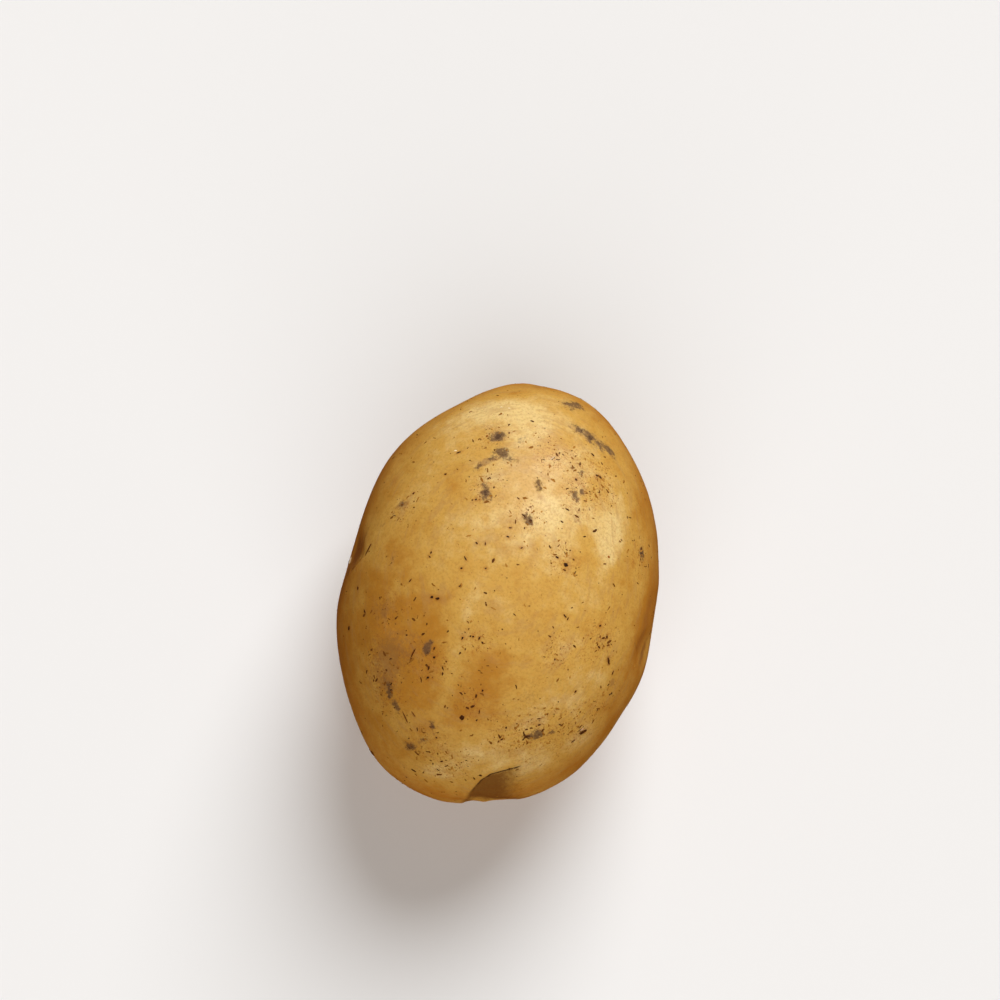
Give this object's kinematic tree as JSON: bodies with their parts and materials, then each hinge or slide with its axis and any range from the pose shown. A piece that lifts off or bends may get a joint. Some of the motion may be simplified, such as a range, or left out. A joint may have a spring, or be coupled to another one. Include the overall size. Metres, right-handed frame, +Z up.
{
  "type": "potato",
  "caption": "Whole raw potato, an oblong tuber with shallow eyes, corky lenticels and a stem scar, lying on a small flat spot of its belly.",
  "frame": {"origin": "on the resting surface, under the middle of the tuber's bounding box", "axes": "+Y along the tuber to its stem end, +X across its cheeks to the right, +Z up through its crown"},
  "size_m": [0.069, 0.095, 0.061],
  "materials": {
    "potato_skin": "thin golden-brown skin with a soft waxy sheen"
  },
  "bodies": {
    "root": {"tuber": "potato_skin"}
  },
  "joints": []
}
